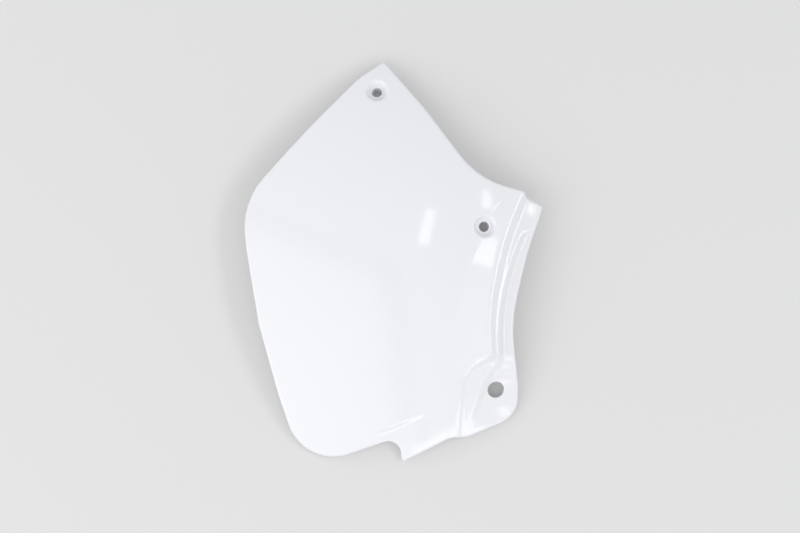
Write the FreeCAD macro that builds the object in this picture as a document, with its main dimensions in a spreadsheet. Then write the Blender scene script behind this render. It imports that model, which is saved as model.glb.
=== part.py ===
import FreeCAD, Part
import math
import os

import Sketcher
from FreeCAD import Placement, Rotation, Vector

# Side panel of an off-road motorbike, moulded in one piece from gloss plastic.
# It lies on its back with the outer face up. X runs across to the mounting flange, Y runs up to the apex
# and Z points out of the outer face. The origin is under the middle of its box. All sizes are millimetres.

NODE = "side_panel"

# Corners of the outline seen in plan, in order round the panel.
# Each has its place (x, y) and the set-back from the corner to the start of its round.
CORNERS = {
    "apex": (-7.5, 161.5, 2.0),
    "left_brow": (-26.6, 148.7, 5.8),
    "left_cheek": (-69.2, 105.6, 20.5),
    "shoulder": (-121.6, 47.6, 26.7),
    "flank": (-110.4, -50.2, 58.5),
    "toe": (-72.4, -168.4, 38.7),
    "notch": (4.9, -140.6, 13.4),
    "tail": (7.1, -161.9, 2.6),
    "wave_in": (46.2, -141.8, 3.6),
    "wave_out": (60.1, -141.4, 3.1),
    "lug": (100.8, -124.1, 14.5),
    "lug_rise": (100.7, -99.8, 2.2),
    "waist": (94.5, -47.3, 21.3),
    "hip": (107.2, 6.4, 7.6),
    "tab": (120.2, 44.6, 2.3),
    "tab_root": (106.4, 51.4, 2.4),
    "ridge_end": (105.5, 56.3, 1.9),
    "neck": (67.6, 66.4, 24.1),
    "right_brow": (25.6, 122.7, 7.7),
}

SIZES = {
    "wall": (2.5, "thickness of the shell"),
    "crown_radius_long": (450.0, "radius of the crown along Y"),
    "crown_radius_cross": (460.0, "radius of the crown along X"),
    "crown_x": (-5.0, "highest point of the crown, across"),
    "crown_y": (4.0, "highest point of the crown, along"),
    "lip_width": (32.0, "width of the hollow that rises to the ridge"),
    "lip_rise": (2.4, "height of the ridge over the crown"),
    "ridge_waist_x": (76.8, "ridge where it bows in most, across"),
    "ridge_waist_y": (-50.0, "ridge where it bows in most, along"),
    "ridge_radius": (212.0, "radius of the ridge line in plan"),
    "ridge_foot_x": (51.4, "lower end of the ridge line, across"),
    "ridge_foot_lean": (0.085, "lean of the lower ridge line, X for each Y"),
    "ramp_width": (8.0, "width of the slope below the ridge"),
    "ramp_width_foot": (4.5, "width of that slope beside the lug"),
    "ramp_drop": (2.8, "drop of that slope beside the flange"),
    "ramp_drop_foot": (0.9, "drop of that slope beside the lug"),
    "bend_top_y": (-73.0, "where the ridge and step turn to the lug"),
    "bend_length": (20.0, "length of that turn along Y"),
    "foot_y": (-135.0, "lower end of the ridge and step lines"),
    "step_waist_x": (83.8, "step where it bows in most, across"),
    "step_waist_y": (-58.0, "step where it bows in most, along"),
    "step_radius": (170.0, "radius of the step line in plan"),
    "step_foot_x": (58.2, "lower end of the step line, across"),
    "step_foot_lean": (0.383, "lean of the lower step line, X for each Y"),
    "step_run": (4.4, "width of the step's wall in plan"),
    "step_drop_top": (2.2, "drop of the step below the tab"),
    "step_drop_waist": (3.4, "drop of the step at the waist"),
    "saddle_drop": (1.0, "drop of the step where the flange rises to the lug"),
    "lug_drop": (1.7, "drop of the step beside the lug's hole"),
    "lug_drop_foot": (0.6, "drop of the step at the lower edge"),
    "pad_foot_y": (24.0, "lower end of the raised pad on the tab"),
    "pad_run": (3.0, "length of the pad's lower slope"),
    "tail_crease_x": (1.4, "point on the crease over the notch, across"),
    "tail_crease_y": (-130.5, "point on the crease over the notch, along"),
    "tail_crease_lean": (0.4, "slope of that crease in plan"),
    "tail_crease_reach": (34.0, "reach of that crease to each side"),
    "tail_drop": (1.4, "drop of the edge below that crease"),
    "tail_run": (7.0, "width over which it drops"),
    "bolt_bore": (8.2, "bore of the two bolt holes"),
    "seat_diameter": (12.6, "flat seat of the bolt head"),
    "dish_depth": (4.0, "depth of that seat below the outer face"),
    "dish_flare": (3.7, "width of the dish's wall round the seat"),
    "dish_round": (2.2, "round where the dish meets the outer face"),
    "upper_bolt_inset": (-5.7, "upper bolt from the apex, across"),
    "upper_bolt_drop": (24.1, "upper bolt from the apex, down"),
    "upper_boss_length": (14.0, "end of the upper boss below the outer face"),
    "middle_bolt_inset": (18.2, "middle bolt from the ridge, across"),
    "middle_bolt_y": (28.3, "middle bolt, along"),
    "middle_boss_length": (12.0, "end of the middle boss below the outer face"),
    "grommet_bore": (13.4, "plain hole for the rubber grommet in the lug"),
    "grommet_inset": (18.2, "that hole from the lug's corner, across"),
    "grommet_rise": (21.3, "that hole from the lug's corner, up"),
}

# Spacing of the control points that shape the skin, and how far they reach past the outline.
COARSE_ROW, MEDIUM_ROW, FINE_ROW = 28.0, 18.0, 9.0
PANEL_COLUMNS, FLANGE_COLUMNS = 8, 3
CREST = 4.4
MARGIN = 14.0
DEEP = 120.0
FACET = 0.05

doc = FreeCAD.newDocument("side_panel_model")
sheet = doc.addObject("Spreadsheet::Sheet", "Sizes")


def fill_sheet():
    """Write every size into its own cell, with its alias and its meaning beside it."""
    rows = []
    for name, (x, y, setback) in CORNERS.items():
        words = name.replace("_", " ")
        rows.append((name + "_x", x, f"corner {words}, across"))
        rows.append((name + "_y", y, f"corner {words}, along"))
        rows.append((name + "_round", setback, f"corner {words}, set-back of its round"))
    rows += [(alias, value, words) for alias, (value, words) in SIZES.items()]
    for number, (alias, value, words) in enumerate(rows, start=1):
        sheet.set(f"A{number}", words)
        sheet.set(f"B{number}", str(value))
        sheet.setAlias(f"B{number}", alias)
    doc.recompute()


def size(alias):
    return float(sheet.get(alias))


def blend(share):
    """Ease from 0 to 1 with level ends."""
    share = min(1.0, max(0.0, share))
    return share * share * (3.0 - 2.0 * share)


def along(y, stations):
    """Value at y on straight runs between (y, value) stations that go down the panel."""
    if y >= stations[0][0]:
        return stations[0][1]
    for (y0, v0), (y1, v1) in zip(stations, stations[1:]):
        if y >= y1:
            return v0 + (v1 - v0) * (y0 - y) / (y0 - y1)
    return stations[-1][1]


def spread(first, last, count):
    return [first + (last - first) * i / count for i in range(count)]


def turn_to_lug(y):
    return blend((size("bend_top_y") - y) / size("bend_length"))


def guide(name, y):
    """X of the ridge or step line: an arc beside the flange that turns into a leaning line by the lug."""
    y = max(size("foot_y"), min(y, size("ridge_end_y")))
    waist = size(name + "_waist_x") + (y - size(name + "_waist_y")) ** 2 / (2.0 * size(name + "_radius"))
    foot = size(name + "_foot_x") + size(name + "_foot_lean") * (y - size("foot_y"))
    return waist + (foot - waist) * turn_to_lug(y)


def ramp_width(y):
    """Width of the slope below the ridge, kept clear of the step."""
    width = size("ramp_width") + (size("ramp_width_foot") - size("ramp_width")) * turn_to_lug(y)
    return min(width, guide("step", y) - guide("ridge", y) - CREST)


def step_drop(y):
    """Drop of the step along the panel: none on the tab's pad, deepest at the waist, eased over the saddle."""
    groove_end = size("bend_top_y")
    bend = size("bend_length")
    stations = [
        (size("pad_foot_y") + size("pad_run") / 2.0, 0.0),
        (size("pad_foot_y") - size("pad_run") / 2.0, size("step_drop_top")),
        (groove_end, size("step_drop_waist")),
        (groove_end - bend * 0.4, size("saddle_drop")),
        (groove_end - bend * 0.9, size("lug_drop")),
        (groove_end - bend * 1.9, size("lug_drop")),
        (size("foot_y"), size("lug_drop_foot")),
    ]
    return along(y, stations)


def height(x, y):
    """Height of the outer skin over the crown's highest point."""
    crown = -((x - size("crown_x")) ** 2) / (2.0 * size("crown_radius_cross"))
    crown -= (y - size("crown_y")) ** 2 / (2.0 * size("crown_radius_long"))

    ridge = guide("ridge", y)
    step = guide("step", y)
    lip = min(1.0, max(0.0, 1.0 - (ridge - x) / size("lip_width")))
    lip_rise = size("lip_rise") * (1.0 - turn_to_lug(y)) * lip * lip

    ramp = min(1.0, max(0.0, (x - ridge) / ramp_width(y)))
    ramp_drop = size("ramp_drop") + (size("ramp_drop_foot") - size("ramp_drop")) * turn_to_lug(y)
    wall = min(1.0, max(0.0, (x - step) / size("step_run")))

    from_crease = x - size("tail_crease_x")
    below = size("tail_crease_y") + size("tail_crease_lean") * from_crease - y
    fade = 1.0 - blend(abs(from_crease) / size("tail_crease_reach"))
    tail = size("tail_drop") * fade * blend(below / size("tail_run"))
    return crown + lip_rise - ramp_drop * ramp - step_drop(y) * wall - tail


def normal(x, y):
    """Direction out of the outer skin."""
    reach = CREST / 2.0
    slope_x = (height(x + reach, y) - height(x - reach, y)) / (2.0 * reach)
    slope_y = (height(x, y + reach) - height(x, y - reach)) / (2.0 * reach)
    return Vector(-slope_x, -slope_y, 1.0).normalize()


def skin_rows():
    """Y of each row of control points, closer together where a step or crease crosses the panel."""
    ys = [size(name + "_y") for name in CORNERS]
    pad = size("pad_foot_y")
    bend = size("bend_top_y")
    zones = [
        (max(ys) + MARGIN, COARSE_ROW),
        (pad + 3.0 * FINE_ROW, FINE_ROW),
        (pad - 3.0 * FINE_ROW, MEDIUM_ROW),
        (bend + 2.0 * FINE_ROW, FINE_ROW),
        (size("foot_y") - MARGIN, MEDIUM_ROW),
    ]
    bottom = min(ys) - MARGIN
    rows = []
    for (top, spacing), (end, _) in zip(zones, zones[1:] + [(bottom, 0.0)]):
        rows += spread(top, end, max(2, round((top - end) / spacing)))
    return rows + [bottom]


def skin_columns(y):
    """X of the control points in one row: even over the panel, then gathered on the ridge and step lines."""
    xs = [size(name + "_x") for name in CORNERS]
    ridge = guide("ridge", y)
    step = guide("step", y)
    lip = size("lip_width")
    ramp_end = ridge + ramp_width(y)
    foot = step + size("step_run")
    panel = spread(min(xs) - MARGIN, ridge - lip, PANEL_COLUMNS)
    hollow = [ridge - lip * share for share in (1.0, 0.6, 0.25)]
    strip = [ridge - CREST, ridge, ramp_end]
    wall = [step, foot, foot + CREST]
    right = max(max(xs), foot + CREST) + MARGIN
    flange = spread(foot + 2.0 * CREST, right, FLANGE_COLUMNS) + [right]
    return panel + hollow + strip + wall + flange


def skin_surface(depth):
    """Smooth surface over the control points, lowered into the shell by depth."""
    poles = []
    for y in skin_rows():
        row = [Vector(x, y, height(x, y)) - normal(x, y) * depth for x in skin_columns(y)]
        poles.append(row)
    degree = 3
    knots = []
    counts = []
    for number in (len(poles), len(poles[0])):
        inner = number - degree - 1
        knots.append([float(i) for i in range(inner + 2)])
        counts.append([degree + 1] + [1] * inner + [degree + 1])
    surface = Part.BSplineSurface()
    surface.buildFromPolesMultsKnots(
        poles, counts[0], counts[1], knots[0], knots[1], False, False, degree, degree
    )
    return surface


def add_under_skin(name, depth):
    """Everything below a skin: the skin as a face, and that face carried straight down."""
    skin = doc.addObject("Part::Feature", name + "_skin")
    skin.Shape = skin_surface(depth).toShape()
    below = doc.addObject("Part::Extrusion", "below_" + name)
    below.Base = skin
    below.DirMode = "Custom"
    below.Dir = Vector(0, 0, -1)
    below.LengthFwd = DEEP
    below.Solid = True
    return below


def outline_rounds():
    """Start, middle and end of the round at each corner, its own place and the largest set-back that fits."""
    places = [Vector(size(name + "_x"), size(name + "_y"), 0.0) for name in CORNERS]
    setbacks = [size(name + "_round") for name in CORNERS]
    count = len(places)
    edges = [(places[(i + 1) % count] - places[i]).Length for i in range(count)]
    room = [0.98 * edges[i] / (setbacks[i] + setbacks[(i + 1) % count]) for i in range(count)]
    rounds = []
    for i, place in enumerate(places):
        limit = setbacks[i] * min(room[i - 1], room[i])
        setback = min(setbacks[i], limit)
        back = (places[i - 1] - place).normalize()
        ahead = (places[(i + 1) % count] - place).normalize()
        half_turn = (math.pi - back.getAngle(ahead)) / 2.0
        radius = setback / math.tan(half_turn)
        to_arc = radius * (1.0 / math.cos(half_turn) - 1.0)
        middle = place + (back + ahead).normalize() * to_arc
        rounds.append((place + back * setback, middle, place + ahead * setback, place, limit))
    return rounds


def add_outline():
    """Sketch of the outline: straight runs joined by tangent arcs, its corners held by the sheet."""
    sketch = doc.addObject("Sketcher::SketchObject", "outline")
    rounds = outline_rounds()
    count = len(rounds)
    arcs = [Part.Arc(start, middle, end) for start, middle, end, _, _ in rounds]
    lines = [Part.LineSegment(rounds[i][2], rounds[(i + 1) % count][0]) for i in range(count)]
    sketch.addGeometry(arcs, False)
    sketch.addGeometry(lines, False)
    sketch.addGeometry([Part.Point(place) for _, _, _, place, _ in rounds], True)

    def ends(i):
        """Which end of arc i comes first round the outline."""
        from_start = (sketch.getPoint(i, 1) - rounds[i][0]).Length
        from_end = (sketch.getPoint(i, 2) - rounds[i][0]).Length
        return (1, 2) if from_start < from_end else (2, 1)

    held = []
    driven = []
    for i, name in enumerate(CORNERS):
        start, end = ends(i)
        before = count + (i - 1) % count
        after = count + i
        corner = 2 * count + i
        place, limit = rounds[i][3], rounds[i][4]
        held.append(Sketcher.Constraint("Tangent", before, 2, i, start))
        held.append(Sketcher.Constraint("Tangent", i, end, after, 1))
        held.append(Sketcher.Constraint("PointOnObject", corner, 1, before))
        held.append(Sketcher.Constraint("PointOnObject", corner, 1, after))
        driven.append((len(held), f"Sizes.{name}_x"))
        held.append(Sketcher.Constraint("DistanceX", -1, 1, corner, 1, place.x))
        driven.append((len(held), f"Sizes.{name}_y"))
        held.append(Sketcher.Constraint("DistanceY", -1, 1, corner, 1, place.y))
        driven.append((len(held), f"min(Sizes.{name}_round; {limit:.6f})"))
        held.append(Sketcher.Constraint("Distance", corner, 1, i, start, (rounds[i][0] - place).Length))
    sketch.addConstraint(held)
    for number, formula in driven:
        sketch.setExpression(f"Constraints[{number}]", formula)
    return sketch


def on_skin(x, y):
    """Placement on the outer skin at a point, with Z straight out of it."""
    return Placement(Vector(x, y, height(x, y)), Rotation(Vector(0, 0, 1), normal(x, y)))


def add_boss(name, place):
    """Cup behind a bolt hole: a cone round the dish that runs into a straight post."""
    cup = doc.addObject("Part::Cone", name + "_cup")
    cup.setExpression("Height", "Sizes.dish_depth + Sizes.wall / 2")
    cup.setExpression("Radius1", "Sizes.seat_diameter / 2 + Sizes.wall")
    cup.setExpression("Radius2", "Sizes.seat_diameter / 2 + Sizes.dish_flare + Sizes.wall")
    cup.Placement = place * Placement(Vector(0, 0, -size("dish_depth") - size("wall")), Rotation())
    post = doc.addObject("Part::Cylinder", name + "_post")
    post.setExpression("Radius", "Sizes.seat_diameter / 2 + Sizes.wall")
    post.setExpression("Height", f"Sizes.{name}_boss_length - Sizes.dish_depth")
    post.Placement = place * Placement(Vector(0, 0, -size(name + "_boss_length")), Rotation())
    return [cup, post]


def add_dish(name, place):
    """Cutter for the dish: half its section, turned about the bolt's axis."""
    seat = size("seat_diameter") / 2.0
    rim = seat + size("dish_flare")
    depth = size("dish_depth")
    rounding = min(size("dish_round"), 0.6 * size("dish_flare"), 0.6 * depth)
    flare = rim + size("dish_flare")
    rise = size("wall") / 4.0
    over = size("wall") * 2.0
    centre = Vector(rim, -rounding, 0)
    seat_edge = Vector(seat, -depth, 0)
    reach = seat_edge - centre
    swing = math.atan2(reach.y, reach.x) % (2.0 * math.pi) - math.acos(rounding / reach.Length)
    leave = centre + Vector(math.cos(swing), math.sin(swing), 0) * rounding
    halfway = (swing + math.pi / 2.0) / 2.0
    crest = centre + Vector(math.cos(halfway), math.sin(halfway), 0) * rounding

    sketch = doc.addObject("Sketcher::SketchObject", name + "_dish_section")
    rim_point = Vector(rim, 0, 0)
    points = [Vector(0, over, 0), Vector(flare, over, 0), Vector(flare, rise, 0), rim_point]
    floor = [leave, seat_edge, Vector(0, -depth, 0), points[0]]
    lines = [Part.LineSegment(a, b) for a, b in zip(points, points[1:])]
    lines += [Part.LineSegment(a, b) for a, b in zip(floor, floor[1:])]
    sketch.addGeometry(lines + [Part.Arc(rim_point, crest, leave)], False)
    top, side, slant, wall, base, axis, arc = range(7)
    held = [Sketcher.Constraint("Coincident", a, 2, b, 1) for a, b in ((top, side), (side, slant))]
    held += [Sketcher.Constraint("Coincident", a, 2, b, 1) for a, b in ((wall, base), (base, axis), (axis, top))]
    held.append(Sketcher.Constraint("Coincident", slant, 2, arc, 1))
    held.append(Sketcher.Constraint("Tangent", arc, 2, wall, 1))
    held.append(Sketcher.Constraint("Horizontal", top))
    held.append(Sketcher.Constraint("Vertical", side))
    held.append(Sketcher.Constraint("Horizontal", base))
    held.append(Sketcher.Constraint("PointOnObject", axis, 1, -2))
    held.append(Sketcher.Constraint("PointOnObject", axis, 2, -2))
    held.append(Sketcher.Constraint("PointOnObject", arc, 1, -1))
    held.append(Sketcher.Constraint("Vertical", arc, 1, arc, 3))
    driven = [
        ("DistanceX", (-1, 1, arc, 1), rim, "Sizes.seat_diameter / 2 + Sizes.dish_flare"),
        ("DistanceX", (-1, 1, base, 1), seat, "Sizes.seat_diameter / 2"),
        ("DistanceY", (base, 1, -1, 1), depth, "Sizes.dish_depth"),
        ("Radius", (arc,), rounding, "min(Sizes.dish_round; 0.6 * Sizes.dish_flare; 0.6 * Sizes.dish_depth)"),
        ("DistanceX", (-1, 1, side, 2), flare, "Sizes.seat_diameter / 2 + 2 * Sizes.dish_flare"),
        ("DistanceY", (-1, 1, side, 2), rise, "Sizes.wall / 4"),
        ("DistanceY", (-1, 1, axis, 2), over, "2 * Sizes.wall"),
    ]
    first = len(held)
    held += [Sketcher.Constraint(kind, *where, value) for kind, where, value, _ in driven]
    sketch.addConstraint(held)
    for number, (_, _, _, formula) in enumerate(driven, start=first):
        sketch.setExpression(f"Constraints[{number}]", formula)

    dish = doc.addObject("Part::Revolution", name + "_dish")
    dish.Source = sketch
    dish.Axis = Vector(0, 1, 0)
    dish.Angle = 360.0
    dish.Solid = True
    dish.Placement = place * Placement(Vector(), Rotation(Vector(1, 0, 0), 90.0))
    return dish


def add_bore(name, place, diameter):
    """Straight hole right through, on the axis of place."""
    bore = doc.addObject("Part::Cylinder", name + "_bore")
    bore.setExpression("Radius", f"Sizes.{diameter} / 2")
    bore.Height = DEEP
    bore.Placement = place * Placement(Vector(0, 0, -DEEP / 2.0), Rotation())
    return bore


def boolean(kind, name, base, tool):
    result = doc.addObject(kind, name)
    result.Base = base
    result.Tool = tool
    return result


fill_sheet()

prism = doc.addObject("Part::Extrusion", "outline_prism")
prism.Base = add_outline()
prism.DirMode = "Custom"
prism.Dir = Vector(0, 0, 1)
prism.LengthFwd = DEEP / 2.0
prism.LengthRev = DEEP * 0.8
prism.Solid = True
crowned = boolean("Part::Common", "crowned_blank", prism, add_under_skin("outer", 0.0))
shell = boolean("Part::Cut", "shell", crowned, add_under_skin("inner", size("wall")))

middle_y = size("middle_bolt_y")
upper = on_skin(size("apex_x") + size("upper_bolt_inset"), size("apex_y") - size("upper_bolt_drop"))
middle = on_skin(guide("ridge", middle_y) - size("middle_bolt_inset"), middle_y)
lower = on_skin(size("lug_x") - size("grommet_inset"), size("lug_y") + size("grommet_rise"))

bossed = doc.addObject("Part::MultiFuse", "bossed_shell")
bossed.Shapes = [shell] + add_boss("upper", upper) + add_boss("middle", middle)
cutters = doc.addObject("Part::MultiFuse", "holes")
cutters.Shapes = [
    add_dish("upper", upper),
    add_dish("middle", middle),
    add_bore("upper", upper, "bolt_bore"),
    add_bore("middle", middle, "bolt_bore"),
    add_bore("lower", lower, "grommet_bore"),
]
panel = boolean("Part::Cut", NODE, bossed, cutters)
panel.Label = NODE
doc.recompute()
plan = doc.getObject("outline").Shape.BoundBox.Center
lowest = min(point.z for point in panel.Shape.tessellate(FACET)[0])
panel.Placement = Placement(Vector(-plan.x, -plan.y, -lowest), Rotation())
doc.recompute()

failed = [item.Label for item in doc.Objects if "Invalid" in item.State or "Error" in item.State]
if failed:
    raise RuntimeError("these did not build: " + ", ".join(failed))
if panel.Shape.isNull() or not panel.Shape.isValid() or len(panel.Shape.Solids) != 1:
    raise RuntimeError(NODE + " is not one valid solid")

os.makedirs("parts", exist_ok=True)
panel.Shape.exportStep(os.path.join("parts", NODE + ".step"))
print(f"{NODE}: {panel.Shape.Volume / 1000.0:.1f} cm3")
for name, place in (("upper", upper), ("middle", middle), ("lower", lower)):
    print(name, "hole on the outer face at", panel.Placement * place.Base, "axis", place.Rotation * Vector(0, 0, 1))
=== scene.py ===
# %% [markdown]
# # A moulded motorbike side panel
# The real panel is one thin shell of gloss white plastic that covers the side of an off-road motorbike.
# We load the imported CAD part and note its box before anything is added. The panel that we model here
# stands in for the CAD part, so it has to fill the same box.

# %% Load the frame
import math

import bmesh
import bpy
from mathutils import Matrix, Vector


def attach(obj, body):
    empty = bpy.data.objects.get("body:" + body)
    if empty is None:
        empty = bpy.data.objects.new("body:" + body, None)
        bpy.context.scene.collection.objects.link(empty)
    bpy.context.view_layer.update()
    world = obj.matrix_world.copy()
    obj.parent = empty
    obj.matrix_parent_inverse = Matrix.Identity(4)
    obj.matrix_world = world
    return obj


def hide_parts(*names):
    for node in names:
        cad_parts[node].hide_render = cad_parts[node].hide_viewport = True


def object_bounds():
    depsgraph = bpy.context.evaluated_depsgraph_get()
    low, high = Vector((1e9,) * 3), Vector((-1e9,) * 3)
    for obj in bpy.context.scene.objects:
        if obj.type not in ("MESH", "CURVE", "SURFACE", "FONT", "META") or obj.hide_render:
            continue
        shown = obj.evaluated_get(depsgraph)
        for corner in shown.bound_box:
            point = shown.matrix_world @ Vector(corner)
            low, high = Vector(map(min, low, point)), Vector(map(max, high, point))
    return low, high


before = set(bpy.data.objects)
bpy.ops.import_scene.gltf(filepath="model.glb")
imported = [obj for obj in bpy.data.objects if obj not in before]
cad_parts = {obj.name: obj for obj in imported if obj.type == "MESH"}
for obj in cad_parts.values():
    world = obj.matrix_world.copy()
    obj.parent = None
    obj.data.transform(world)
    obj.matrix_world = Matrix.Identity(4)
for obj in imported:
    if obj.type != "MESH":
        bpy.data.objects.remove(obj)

cad_low, cad_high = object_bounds()
print("CAD box in mm", [round(1000 * s) for s in cad_high - cad_low])

# %% [markdown]
# ## The outline in plan
# Seen from above, the panel is a lopsided shield with nineteen corners. A freehand curve could follow it,
# but corners with rounds are easier to read and to change. Each corner has a place in millimetres and a
# set-back, which is how far from the corner its round starts. We work in millimetres and change to metres
# at the end.

# %% Corners of the outline
CORNERS = [
    (-7.5, 161.5, 2.0),  # apex
    (-26.6, 148.7, 5.8),  # left brow
    (-69.2, 105.6, 20.5),  # left cheek
    (-121.6, 47.6, 26.7),  # shoulder
    (-110.4, -50.2, 58.5),  # flank
    (-72.4, -168.4, 38.7),  # toe
    (4.9, -140.6, 13.4),  # notch
    (7.1, -161.9, 2.6),  # tail
    (46.2, -141.8, 3.6),  # wave, inner
    (60.1, -141.4, 3.1),  # wave, outer
    (100.8, -124.1, 14.5),  # lug
    (100.7, -99.8, 2.2),  # rise from the lug
    (94.5, -47.3, 21.3),  # waist
    (107.2, 6.4, 7.6),  # hip
    (120.2, 44.6, 2.3),  # tab
    (106.4, 51.4, 2.4),  # root of the tab
    (105.5, 56.3, 1.9),  # end of the ridge
    (67.6, 66.4, 24.1),  # neck
    (25.6, 122.7, 7.7),  # right brow
]
print(len(CORNERS), "corners")

# %% [markdown]
# A spin sweeps a single vertex about a centre and leaves an arc. We use that for every rounded corner:
# start on the first edge, spin to the second edge, then join the arcs with straight edges. Filling the
# closed chain gives one flat face. The same function draws the section of each hole later on.

# %% A chain of edges with rounded corners
ARC_STEP = math.radians(9)


def rounded_chain(bm, corners, closed=False):
    """Edges through the corners, given as (place, set-back), with an arc at each one that is set back."""
    first = last = None
    for i, (place, setback) in enumerate(corners):
        start = end = bm.verts.new(place)
        if setback:
            back = (corners[i - 1][0] - place).normalized()
            ahead = (corners[(i + 1) % len(corners)][0] - place).normalized()
            half_turn = (math.pi - back.angle(ahead)) / 2
            centre = place + (back + ahead).normalized() * setback / math.sin(half_turn)
            start.co = place + back * setback
            axis = (start.co - centre).cross(place + ahead * setback - centre).normalized()
            steps = max(2, math.ceil(2 * half_turn / ARC_STEP))
            swept = bmesh.ops.spin(bm, geom=[start], cent=centre, axis=axis, angle=2 * half_turn, steps=steps)
            end = swept["geom_last"][0]
        if last:
            bm.edges.new((last, start))
        first = first or start
        last = end
    if closed:
        bm.edges.new((last, first))


panel = bmesh.new()
rounded_chain(panel, [(Vector((x, y, 0)), setback) for x, y, setback in CORNERS], closed=True)
top = bmesh.ops.contextual_create(panel, geom=panel.edges[:])["faces"][0]
top.normal_update()
if top.normal.z < 0:
    top.normal_flip()
xs = [v.co.x for v in panel.verts]
ys = [v.co.y for v in panel.verts]
print("outline", round(max(xs) - min(xs), 1), "by", round(max(ys) - min(ys), 1), "mm")

# %% [markdown]
# ## The rounded rim
# A moulded edge is never sharp. A bevel could round a finished edge, but our face is still flat, so
# insets are simpler: each one is a little further in and a little higher than the one before, and
# together they draw a quarter round along the whole outline.

# %% Inset the rim
RIM = 1.5
RIM_STEPS = 4
for ring in range(RIM_STEPS):
    a0, a1 = (math.radians(90 * (ring + n) / RIM_STEPS) for n in (0, 1))
    inward = RIM * (math.cos(a0) - math.cos(a1))
    upward = RIM * (math.sin(a1) - math.sin(a0))
    bmesh.ops.inset_region(
        panel, faces=[top], thickness=inward, depth=upward, use_boundary=True, use_even_offset=True
    )
bmesh.ops.translate(panel, verts=panel.verts[:], vec=(0, 0, -RIM))
print(len(panel.faces), "faces in the rim and the top")

# %% [markdown]
# ## A fine net
# The skin will be curved, and a face can only bend where it has vertices. Subdividing gives even squares
# only on a face with four sides, and ours has many, so planes slice it into small squares instead. Each
# cut is given only the pieces that lie past the cut before it, which keeps the slicing quick. Slivers at
# the border are then merged away.

# %% Slice the face into a net
NET = 1.25
CUT_SLACK = 0.001
SLIVER = 0.04


def slice_along(bm, axis):
    """Cut every face with planes NET apart along the axis."""
    rest = bm.faces[:]
    low = min(v.co[axis] for v in bm.verts)
    high = max(v.co[axis] for v in bm.verts)
    across = Vector([float(i == axis) for i in range(3)])
    for cut in range(1, math.ceil((high - low) / NET)):
        place = low + cut * NET
        parts = set(rest)
        for face in rest:
            parts.update(face.edges, face.verts)
        sliced = bmesh.ops.bisect_plane(
            bm, geom=list(parts), dist=CUT_SLACK, plane_co=across * place, plane_no=across
        )
        faces = [g for g in sliced["geom"] if isinstance(g, bmesh.types.BMFace)]
        rest = [f for f in faces if max(v.co[axis] for v in f.verts) > place + CUT_SLACK]


slice_along(panel, 0)
slice_along(panel, 1)
bmesh.ops.remove_doubles(panel, verts=panel.verts[:], dist=SLIVER)
print(len(panel.faces), "faces in the net")

# %% [markdown]
# ## The height of the skin
# The outer face is a shallow crown. Near the right edge it hollows out, rises to a ridge, slopes down
# beyond it and then steps down to the flange. We could push vertices about by hand, but a rule of x and y
# for each fold gives clean highlights. The function `soft` bends from level to rising over a short width,
# so that no fold is sharp, and `slope` puts two such bends together to make a bank with a crest and a
# foot.

# %% Soft folds


def ease(share):
    """Share from 0 to 1 that starts and stops gently."""
    share = min(1.0, max(0.0, share))
    return share * share * (3 - 2 * share)


def between(first, last, share):
    """Value that goes from first to last as the share goes from 0 to 1."""
    return first + (last - first) * share


def soft(run, width):
    """Zero before the fold, the run after it, and a smooth bend of the given half width between."""
    u = run / width
    if u <= -1:
        return 0.0
    if u <= 0:
        return width * (1 + u) ** 3 / 6
    if u < 1:
        return width * (u + (1 - u) ** 3 / 6)
    return run


def slope(run, length, width, foot_width):
    """From 0 to 1 over the length, with the crest and the foot each softened."""
    return (soft(run, width) - soft(run - length, foot_width)) / length


print("a fold of half width 3 mm has risen", soft(0.0, 3.0), "mm at its line")

# %% [markdown]
# Three lines run down the right edge: the lip where the hollow starts, the ridge and the step. Each bows
# round the waist like the outline does, so one rule with four or five numbers draws it. Near the lug the
# ridge and the step turn out of their bows into straight leaning lines.

# %% Lines of the lip, the ridge and the step
RIDGE_END = 56.3
BEND_TOP, BEND_LENGTH, FOOT = -73.0, 30.0, -135.0
LIP = dict(waist_x=50.0, waist_y=-60.0, radius=161.0, slope=0.109)
RIDGE = dict(waist_x=76.8, waist_y=-50.0, radius=212.0, foot_x=51.4, lean=0.085)
STEP = dict(waist_x=83.8, waist_y=-58.0, radius=170.0, foot_x=58.2, lean=0.383)


def turn_to_lug(y):
    """From 0 above the bend to 1 beside the lug, quick at first and then slow."""
    left = 1 - (BEND_TOP - y) / BEND_LENGTH
    return ease(1 - min(1.0, max(0.0, left)) ** 2)


def bow(line, y):
    """X of a line that bows round the waist."""
    y = min(y, RIDGE_END)
    return line["waist_x"] + (y - line["waist_y"]) ** 2 / (2 * line["radius"])


def guide(line, y):
    """X of the ridge or step line: a bow beside the flange that turns into a leaning line by the lug."""
    leaning = line["foot_x"] + line["lean"] * (max(y, FOOT) - FOOT)
    return between(bow(line, y), leaning, turn_to_lug(y))


print("step is", round(guide(STEP, -50) - guide(RIDGE, -50), 1), "mm outside the ridge at the waist")

# %% [markdown]
# The step isn't equally deep all the way. It starts at the foot of the tab's flat pad, is deepest at the
# waist and runs out at the lug. A short list of places and depths says so, and `ease` joins them.

# %% Depth of the step
PAD_FOOT, PAD_RUN = 23.5, 4.5
STEP_DROPS = [
    (PAD_FOOT + PAD_RUN / 2, 0.0),
    (PAD_FOOT - PAD_RUN / 2, 2.6),
    (-65.0, 3.4),
    (-85.0, 1.1),
    (-95.0, 1.7),
    (-111.0, 1.6),
    (FOOT, 0.3),
]


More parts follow.
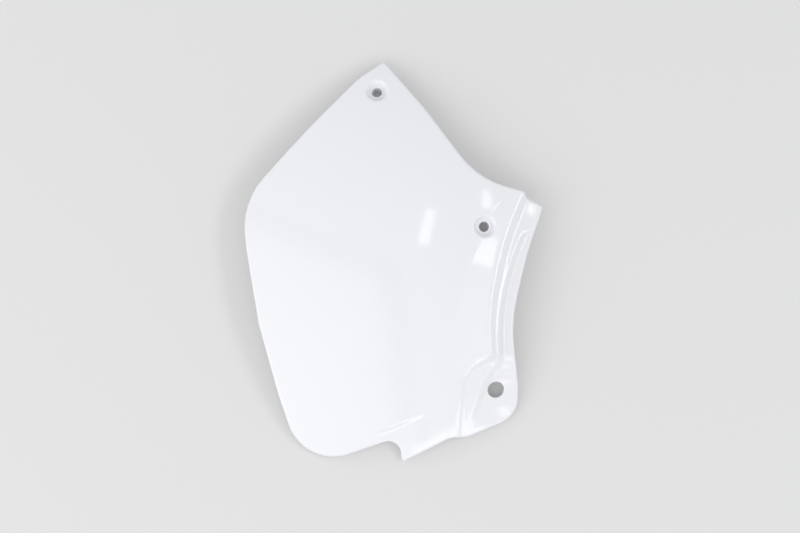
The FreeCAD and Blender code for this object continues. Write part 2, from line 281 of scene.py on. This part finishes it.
def step_drop(y):
    """Depth of the step at a place along the panel."""
    for (y0, drop0), (y1, drop1) in zip(STEP_DROPS, STEP_DROPS[1:]):
        if y >= y1:
            return between(drop0, drop1, ease((y0 - y) / (y0 - y1)))
    return STEP_DROPS[-1][1]


print("step is", round(step_drop(-50), 2), "mm deep at the waist")

# %% [markdown]
# Now the folds are added up. The ramp is the slope between ridge and step, the smile is the curved foot
# of the tab's pad, and the crease is a low fold across the tail. The direction straight out of the face
# comes from the height a little to each side, and the holes will need it.

# %% Height of the outer face
CROWN_X, CROWN_Y = -5.0, 4.0
CROWN_RADIUS_CROSS, CROWN_RADIUS_LONG = 460.0, 450.0
LIP_SOFT, RIDGE_SOFT, RIDGE_SOFT_TOP, STEP_SOFT, FOOT_SOFT = 3.0, 2.9, 3.8, 1.3, 0.6
RAMP_WIDTH, RAMP_WIDTH_FOOT = 8.0, 4.0
RAMP_DROP, RAMP_DROP_FOOT, RAMP_GAP = 2.8, 0.9, 2.0
STEP_RUN = 4.4
PAD_X, PAD_BOW = 107.0, 0.03
TAIL_X, TAIL_Y, TAIL_LEAN, TAIL_REACH = 1.4, -130.5, 0.4, 34.0
TAIL_DROP, TAIL_RUN = 0.8, 4.0


def height(x, y):
    """Height of the outer face over the top of the crown."""
    crown = -((x - CROWN_X) ** 2) / (2 * CROWN_RADIUS_CROSS) - (y - CROWN_Y) ** 2 / (2 * CROWN_RADIUS_LONG)
    turn = turn_to_lug(y)
    ridge, step = guide(RIDGE, y), guide(STEP, y)
    ridge_soft = between(RIDGE_SOFT, RIDGE_SOFT_TOP, ease(y / RIDGE_END))
    rising = soft(x - bow(LIP, y), LIP_SOFT) - soft(x - ridge, ridge_soft)
    hollow = (1 - turn) * (LIP["slope"] * rising + rising**2 / (2 * CROWN_RADIUS_CROSS))
    ramp_width = min(between(RAMP_WIDTH, RAMP_WIDTH_FOOT, turn), step - ridge - RAMP_GAP)
    ramp_drop = between(RAMP_DROP, RAMP_DROP_FOOT, turn)
    ramp = ramp_drop * slope(x - ridge, ramp_width, ridge_soft, STEP_SOFT)
    smile = PAD_BOW * (x - PAD_X) ** 2 * ease(y / PAD_FOOT)
    bank = step_drop(y - smile) * slope(x - step, STEP_RUN, STEP_SOFT, FOOT_SOFT)
    below = TAIL_Y + TAIL_LEAN * (x - TAIL_X) - y
    crease = TAIL_DROP * (1 - ease(abs(x - TAIL_X) / TAIL_REACH)) * ease(below / TAIL_RUN)
    return crown + hollow - ramp - bank - crease


def outward(x, y, reach=0.5):
    """Direction straight out of the outer face."""
    dx = height(x + reach, y) - height(x - reach, y)
    dy = height(x, y + reach) - height(x, y - reach)
    return Vector((-dx, -dy, 2 * reach)).normalized()


print("ridge at the waist", round(height(guide(RIDGE, -50), -50), 2), "mm from the crown's top")

# %% [markdown]
# ## Outer skin, inner skin and edge
# The shell is one even wall. Solidify could thicken a single skin, but it would carry the round of the
# rim through to the back. So the net is copied: the first copy is lifted to the outer face, the second
# hangs one wall thickness below it and faces the other way, and its rim is rounded less. Bridging their
# two borders closes the edge. A vertex layer marks the back, because the back of a moulding is duller
# than its face.

# %% Curve the net and close the edge
WALL = 2.5
BACK_EDGE = 0.35
back_mark = panel.verts.layers.float.new("moulded_back")


def inner_height(x, y):
    """Height of the inner face, one wall below the outer one."""
    return height(x, y) - WALL / outward(x, y).z


copied = bmesh.ops.duplicate(panel, geom=panel.verts[:] + panel.edges[:] + panel.faces[:])["geom"]
back_verts = [g for g in copied if isinstance(g, bmesh.types.BMVert)]
back_faces = [g for g in copied if isinstance(g, bmesh.types.BMFace)]
face_verts = set(panel.verts) - set(back_verts)
for v in face_verts:
    v.co.z += height(v.co.x, v.co.y)
for v in back_verts:
    v.co.z = inner_height(v.co.x, v.co.y) - v.co.z * BACK_EDGE
    v[back_mark] = 1.0
bmesh.ops.reverse_faces(panel, faces=back_faces)
bmesh.ops.bridge_loops(panel, edges=[e for e in panel.edges if e.is_boundary])
print(sum(e.is_boundary for e in panel.edges), "open edges after bridging")

# %% [markdown]
# ## The holes
# A boolean could cut the holes, but it leaves ragged triangles that show in gloss. Instead we delete the
# net inside a circle on each skin and draw the edge of the gap into a true circle.

# %% Open a circle in a skin


def on_face(x, y):
    """Place on the outer face with Z straight out of it."""
    turn = Vector((0, 0, 1)).rotation_difference(outward(x, y)).to_matrix().to_4x4()
    return Matrix.Translation((x, y, height(x, y))) @ turn


def open_circle(bm, place, radius, back):
    """Delete the net of one skin inside a circle, round off the gap and return the edges along it."""
    to_local = place.inverted()
    skin = inner_height if back else height
    whole = {e for e in bm.edges if not e.is_boundary}
    inside = []
    for face in bm.faces:
        spot = to_local @ face.calc_center_median()
        if math.hypot(spot.x, spot.y) < radius and abs(spot.z + WALL * back) < WALL / 2:
            inside.append(face)
    bmesh.ops.delete(bm, geom=inside, context="FACES")
    gap = [e for e in bm.edges if e.is_boundary and e in whole]
    for v in {v for e in gap for v in e.verts}:
        spot = to_local @ v.co
        stretch = radius / math.hypot(spot.x, spot.y)
        x, y, _ = place @ Vector((spot.x * stretch, spot.y * stretch, -WALL * back))
        v.co = (x, y, skin(x, y))
    print("gap of", len(gap), "edges in the", "inner" if back else "outer", "skin")
    return gap


# %% [markdown]
# The wall of a hole is a section, spun about the axis of the hole. It is spun in a small mesh of its own,
# because a spin in the big one is slow. The tube is then set into the panel, follows the curve of the
# skin, and two bridges join it to the gaps.

# %% Spin a tube and join it to the skins
HOLE_STEPS = 72


def add_tube(bm, section):
    """Spin the section about Z, add it to the mesh and return its vertices."""
    tube = bmesh.new()
    rounded_chain(tube, [(Vector((radius, 0, z)), setback) for radius, z, setback in section])
    drawn = tube.verts[:] + tube.edges[:]
    middle, axis = (0, 0, 0), (0, 0, 1)
    bmesh.ops.spin(
        tube, geom=drawn, cent=middle, axis=axis, angle=2 * math.pi, steps=HOLE_STEPS, use_merge=True
    )
    holder = bpy.data.meshes.new("hole")
    tube.to_mesh(holder)
    tube.free()
    old = set(bm.verts)
    bm.from_mesh(holder)
    bpy.data.meshes.remove(holder)
    return [v for v in bm.verts if v not in old]


def spin_hole(bm, place, section):
    """Join the skins through a hole. The section runs from outer to inner skin as (radius, z, set-back)."""
    outer_gap = open_circle(bm, place, section[0][0] + NET, back=False)
    inner_gap = open_circle(bm, place, section[-1][0] + NET, back=True)
    middle, up = place.translation, place.col[2]
    upper_ring, lower_ring = set(), set()
    for v in add_tube(bm, section):
        behind = v.co.z <= -WALL / 2
        ring = lower_ring if behind else upper_ring
        ring.update(e for e in v.link_edges if e.is_boundary)
        v[back_mark] = float(behind and v.co.xy.length > section[1][0])
        v.co = place @ v.co
        level = middle.z - (up.x * (v.co.x - middle.x) + up.y * (v.co.y - middle.y)) / up.z
        v.co.z += height(v.co.x, v.co.y) - level
    bmesh.ops.bridge_loops(bm, edges=outer_gap + list(upper_ring))
    bmesh.ops.bridge_loops(bm, edges=inner_gap + list(lower_ring))


# %% [markdown]
# The two bolt holes are dished for a flanged bolt head and have a boss behind them. The hole in the lug
# is plain, with softly rounded edges, because it takes a rubber grommet. Each section starts and ends on
# a narrow land that lies flush with a skin. Here the holes are made, and the faces are all turned
# outwards.

# %% Two dished bolt holes and a plain one
BORE, SEAT, DISH_LIP, DISH_DEPTH = 4.1, 6.3, 8.8, 4.0
POST = SEAT + WALL
CUP = DISH_LIP + WALL
BOLT_LAND = 1.4
UPPER_BOSS, MIDDLE_BOSS = 14.0, 12.0
GROMMET, GROMMET_LAND = 6.7, 0.7


def bolt_section(boss_length):
    """Dish, bore, boss and the back of the dish."""
    return [
        (DISH_LIP + BOLT_LAND, 0, 0),
        (DISH_LIP, 0, 1.2),
        (SEAT, -DISH_DEPTH, 0.5),
        (BORE, -DISH_DEPTH, 0.3),
        (BORE, -boss_length, 0.3),
        (POST, -boss_length, 0.5),
        (POST, -DISH_DEPTH - WALL, 0.8),
        (CUP, -WALL, 0.8),
        (CUP + BOLT_LAND, -WALL, 0),
    ]


grommet_section = [
    (GROMMET + GROMMET_LAND, 0, 0),
    (GROMMET, 0, 0.6),
    (GROMMET, -WALL, 0.4),
    (GROMMET + GROMMET_LAND, -WALL, 0),
]
spin_hole(panel, on_face(-13.2, 137.4), bolt_section(UPPER_BOSS))
spin_hole(panel, on_face(73.06, 28.3), bolt_section(MIDDLE_BOSS))
spin_hole(panel, on_face(82.6, -102.8), grommet_section)
bmesh.ops.recalc_face_normals(panel, faces=panel.faces[:])
print(sum(not e.is_manifold for e in panel.edges), "edges that do not join two faces")

# %% [markdown]
# ## From millimetres to the frame
# The panel is centred in plan, set down at the level of the CAD part and scaled to metres. This is done
# to the mesh and not to the object, so the object stays at the origin. The panel replaces the CAD node
# and rides on the frame's one body. Faces are shaded smooth, except across edges sharper than a set
# angle.

# %% Put the panel in place
MILLIMETRE = 0.001
SHARP = math.radians(38)


def to_object(bm, name):
    """Hand a bmesh over to a new object at the origin."""
    mesh = bpy.data.meshes.new(name)
    bm.to_mesh(mesh)
    bm.free()
    made = bpy.data.objects.new(name, mesh)
    bpy.context.collection.objects.link(made)
    return made


lowest = min(v.co.z for v in panel.verts)
to_middle = Vector((-(max(xs) + min(xs)) / 2, -(max(ys) + min(ys)) / 2, cad_low.z / MILLIMETRE - lowest))
in_place = Matrix.Scale(MILLIMETRE, 4) @ Matrix.Translation(to_middle)
bmesh.ops.transform(panel, matrix=in_place, verts=panel.verts[:])
for face in panel.faces:
    face.smooth = True
moulding = to_object(panel, "moulded_panel")
moulding.data.set_sharp_from_angle(angle=SHARP)
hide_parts("side_panel")
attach(moulding, "root")
print(sum(len(p.vertices) - 2 for p in moulding.data.polygons), "triangles")

# %% [markdown]
# ## The plastic
# A shader is a net of nodes, and sums in it are easier to read as Python. A small class wraps a socket,
# so that adding or multiplying two of them makes the Math node and links it. Any other node comes from
# its method `node`.

# %% Sums of sockets


class Signal:
    """A value that flows out of a shader node."""

    def __init__(self, tree, socket):
        self.tree = tree
        self.socket = socket

    def node(self, kind, settings, **sockets):
        """Add a node, set it up, feed its inputs and return its first output."""
        made = self.tree.nodes.new(kind)
        for name, value in settings.items():
            setattr(made, name, value)
        for name, value in sockets.items():
            feed(made.inputs[name.replace("_", " ")], value)
        return Signal(self.tree, made.outputs[0])

    def output(self, name):
        """Another output of the same node."""
        return Signal(self.tree, self.socket.node.outputs[name])

    def combine(self, operation, left, right):
        """Math node on two values."""
        made = self.node("ShaderNodeMath", {"operation": operation})
        feed(made.socket.node.inputs[0], left)
        feed(made.socket.node.inputs[1], right)
        return made

    def __add__(self, other):
        return self.combine("ADD", self, other)

    def __sub__(self, other):
        return self.combine("SUBTRACT", self, other)

    def __rsub__(self, other):
        return self.combine("SUBTRACT", other, self)

    def __mul__(self, other):
        return self.combine("MULTIPLY", self, other)

    __radd__ = __add__
    __rmul__ = __mul__


def feed(socket, value):
    """Link a signal to a socket, or set a plain value on it."""
    if isinstance(value, Signal):
        value.tree.links.new(value.socket, socket)
    else:
        socket.default_value = value


def new_material(name):
    """A material with its surface node and the Object coordinates as a signal."""
    material = bpy.data.materials.new(name)
    material.use_nodes = True
    tree = material.node_tree
    place = tree.nodes.new("ShaderNodeTexCoord").outputs["Object"]
    return material, tree.nodes["Principled BSDF"], Signal(tree, place)


# %% [markdown]
# White polypropylene has a bright, slightly cool body under a smooth gloss. One flat colour would look
# like paint on a screen, so the tone drifts by less than a percent, the gloss is a little uneven, and a
# very faint ripple keeps reflections from looking like glass. Soft noise on Object coordinates does all
# three, and it stays put when the panel moves. The back is duller.

# %% Gloss white plastic
WHITE = (0.862, 0.864, 0.894)
TONE_BLOBS, GLOSS_BLOBS, RIPPLE_BLOBS = 14.0, 60.0, 240.0
TONE_DRIFT = 0.012
GLOSS, GLOSS_DRIFT, BACK_DULLNESS = 0.05, 0.04, 0.3
RIPPLE_STRENGTH, RIPPLE_DEPTH = 0.02, 0.0005
PLASTIC_IOR = 1.49


def cloud(place, blobs, detail=2.0):
    """Soft noise from 0 to 1 in the object's own space, with so many blobs to the metre."""
    return place.node("ShaderNodeTexNoise", {}, Vector=place, Scale=blobs, Detail=detail)


plastic, surface, place = new_material("white_plastic")
drift = 1.0 + TONE_DRIFT * (cloud(place, TONE_BLOBS, detail=3.0) - 0.5)
red, green, blue = (level * drift for level in WHITE)
body = place.node("ShaderNodeCombineColor", {}, Red=red, Green=green, Blue=blue)
feed(surface.inputs["Base Color"], body)
back = place.node("ShaderNodeAttribute", {"attribute_name": "moulded_back"}).output("Fac")
feed(surface.inputs["Roughness"], GLOSS + GLOSS_DRIFT * cloud(place, GLOSS_BLOBS) + BACK_DULLNESS * back)
ripple = cloud(place, RIPPLE_BLOBS)
bump = place.node("ShaderNodeBump", {}, Height=ripple, Strength=RIPPLE_STRENGTH, Distance=RIPPLE_DEPTH)
feed(surface.inputs["Normal"], bump)
surface.inputs["IOR"].default_value = PLASTIC_IOR
moulding.data.materials.append(plastic)
print("plastic has", len(place.tree.nodes), "nodes")

# %% [markdown]
# ## The table
# The panel lies on a plain pale grey table. One big square is enough, level with the lowest point of the
# panel.

# %% Table top
TABLE_HALF = 4.0
sheet = bmesh.new()
bmesh.ops.create_grid(sheet, x_segments=1, y_segments=1, size=TABLE_HALF)
bmesh.ops.translate(sheet, verts=sheet.verts[:], vec=(0, 0, cad_low.z))
table = to_object(sheet, "table_top")
print("table level with the panel at", round(cad_low.z, 5))

# %% [markdown]
# The paper on the table is dull and one even grey. A share of that grey is shown evenly to the camera and
# in reflections, which keeps the background level and the shadow light. The rest is lit like everything
# else. Ambient Occlusion tells how much of the sky a point can see. Under the panel that is little, and
# the even share fades out there, or it would glow through the holes.

# %% Grey paper
GREY = (0.75, 0.75, 0.75, 1.0)
EVENNESS = 0.3
COVER_REACH = 0.1
COVERED, OPEN = 0.12, 0.26
paper, paper_surface, place = new_material("grey_paper")
paper_surface.inputs["Base Color"].default_value = GREY
paper_surface.inputs["Roughness"].default_value = 0.9
paper_surface.inputs["Specular IOR Level"].default_value = 0.0
ray = place.node("ShaderNodeLightPath", {})
seen = ray.output("Is Camera Ray") + ray.output("Is Glossy Ray") + ray.output("Is Transmission Ray")
cover = place.node("ShaderNodeAmbientOcclusion", {}, Distance=COVER_REACH).output("AO")
sky = place.node("ShaderNodeMapRange", {}, Value=cover, From_Min=COVERED, From_Max=OPEN)
even = place.node("ShaderNodeEmission", {}, Color=GREY, Strength=1.0)
lit = place.node("ShaderNodeMixShader", {}, Fac=EVENNESS * seen * sky)
feed(lit.socket.node.inputs[1], Signal(place.tree, paper_surface.outputs["BSDF"]))
feed(lit.socket.node.inputs[2], even)
feed(place.tree.nodes["Material Output"].inputs["Surface"], lit)
table.data.materials.append(paper)
print("paper has", len(place.tree.nodes), "nodes")

# %% [markdown]
# ## Studio light
# A pale room gives most of the light. It is the world's background, at about half of full white, so that
# the lamps can add to it and white plastic still doesn't clip.

# %% Pale room
ROOM_COLOUR = (0.97, 0.98, 1.0, 1.0)
ROOM_LIGHT = 0.535
scene = bpy.context.scene
room = bpy.data.worlds.new("pale_room")
room.use_nodes = True
background = room.node_tree.nodes["Background"]
background.inputs["Color"].default_value = ROOM_COLOUR
background.inputs["Strength"].default_value = ROOM_LIGHT
scene.world = room
print("room light", ROOM_LIGHT)

# %% [markdown]
# Gloss plastic is a mirror for whatever hangs above it. Four small panes overhead each make one clear
# highlight: the slanted one near the middle, the strip in the hollow, and spots on the tab and the lug.
# Four soft boxes stand lower, on four sides. The right and lower ones draw the thin bright lines along
# the ridge and the step, and the left ones give the edges and the shadow their shape.

# %% Panes and soft boxes
PANE_HEIGHT = 1.65
PANES = [  # name, x, y, width, length, turn in degrees, glow
    ("slanted_pane", 0.277, 0.238, 0.078, 0.275, -13, 3.4),
    ("strip_pane", 0.745, 0.46, 0.075, 0.14, 0, 4.0),
    ("tab_pane", 1.15, 0.51, 0.08, 0.09, 0, 5.5),
    ("lug_pane", 0.96, -1.00, 0.11, 0.08, 0, 3.0),
]
BOXES = [  # name, place, width, length, glow
    ("right_box", (1.63, -0.11, 1.47), 2.0, 0.42, 4.8),
    ("lower_box", (0.62, -1.54, 1.44), 1.1, 0.42, 2.6),
    ("left_box", (-1.6, -0.7, 1.0), 1.6, 1.2, 2.0),
    ("upper_left_box", (-1.35, 1.35, 1.0), 2.0, 0.6, 1.8),
]


def add_lamp(name, place, aim, width, length, glow):
    """A soft box facing its aim. Glow is how bright its face looks, and the watts follow from its area."""
    lamp = bpy.data.lights.new(name, "AREA")
    lamp.shape = "RECTANGLE"
    lamp.size, lamp.size_y = width, length
    lamp.energy = glow * math.pi * width * length
    holder = bpy.data.objects.new(name, lamp)
    holder.location = place
    holder.rotation_euler = (Vector(aim) - Vector(place)).to_track_quat("-Z", "Y").to_euler()
    bpy.context.collection.objects.link(holder)
    print(name, round(lamp.energy, 1), "W")
    return holder


for name, x, y, width, length, turn, glow in PANES:
    pane = add_lamp(name, (x, y, PANE_HEIGHT), (x, y, 0), width, length, glow)
    pane.rotation_euler.z = math.radians(turn)
for name, stand, width, length, glow in BOXES:
    add_lamp(name, stand, (0, 0, 0), width, length, glow)

# %% [markdown]
# The big light is a sheet of glowing cloth over the lower left, and its corner shows in the gloss near
# the middle of the panel. An area lamp would show a hard edge there. The cloth is a mesh with a glow that
# fades at its edges and grows away from its inner corner, so its reflection has a soft border.

# %% Cloth
CLOTH_CORNER = Vector((0.10, -0.06, 1.75))
CLOTH_TOP = Vector((-1.80, 0.74, 0))
CLOTH_SIDE = Vector((0.24, -2.80, 0))
cloth = bmesh.new()
bmesh.ops.create_grid(cloth, x_segments=1, y_segments=1, size=0.5)
spread = Matrix((CLOTH_TOP, CLOTH_SIDE, (0, 0, 1))).transposed().to_4x4()
middle = CLOTH_CORNER + (CLOTH_TOP + CLOTH_SIDE) / 2
bmesh.ops.transform(cloth, matrix=Matrix.Translation(middle) @ spread, verts=cloth.verts[:])
hanging = to_object(cloth, "glowing_cloth")
print("cloth is", round(CLOTH_TOP.length, 2), "by", round(CLOTH_SIDE.length, 2), "m")

# %% [markdown]
# The glow is worked out from how far a point lies inside each of the two edges that meet at the inner
# corner.

# %% Glow of the cloth
FADE = 0.30
GLOW, GLOW_GROWTH = 0.85, 0.42
GROWTH_LEFT, GROWTH_DOWN = 0.55, 0.45
glowing, glow_surface, place = new_material("glowing_cloth")
spot = place.node("ShaderNodeSeparateXYZ", {}, Vector=place)
from_corner_x = spot.output("X") - CLOTH_CORNER.x
from_corner_y = spot.output("Y") - CLOTH_CORNER.y


def inside(side, other):
    """Soft step from 0 at the edge along side to 1 further in, towards other."""
    across = Vector((-side.y, side.x)).normalized()
    if across.dot(other.xy) < 0:
        across.negate()
    depth = across.x * from_corner_x + across.y * from_corner_y
    smooth = {"interpolation_type": "SMOOTHSTEP"}
    return place.node("ShaderNodeMapRange", smooth, Value=depth, From_Min=0.0, From_Max=FADE)


growth = -GROWTH_LEFT * from_corner_x - GROWTH_DOWN * from_corner_y
shine = inside(CLOTH_TOP, CLOTH_SIDE) * inside(CLOTH_SIDE, CLOTH_TOP) * (GLOW + GLOW_GROWTH * growth)
feed(glow_surface.inputs["Emission Color"], shine)
glow_surface.inputs["Emission Strength"].default_value = 1.0
glow_surface.inputs["Base Color"].default_value = (0, 0, 0, 1)
hanging.data.materials.append(glowing)
print("glow has", len(place.tree.nodes), "nodes")

# %% [markdown]
# ## The camera
# The photo looks straight down, and so does a new camera in Blender. The lens is long enough to keep
# perspective small, and the camera stands over the point that falls on the middle of the picture.

# %% Camera straight above
LENS, SENSOR = 88.9, 36.0
STAND = (0.00511, -0.00361, 1.6)
lens = bpy.data.cameras.new("overhead")
lens.lens = LENS
lens.sensor_width = SENSOR
camera = bpy.data.objects.new("overhead", lens)
camera.location = STAND
bpy.context.collection.objects.link(camera)
scene.camera = camera
scene.view_settings.view_transform = "Standard"
print("camera at", [round(c, 3) for c in camera.location])
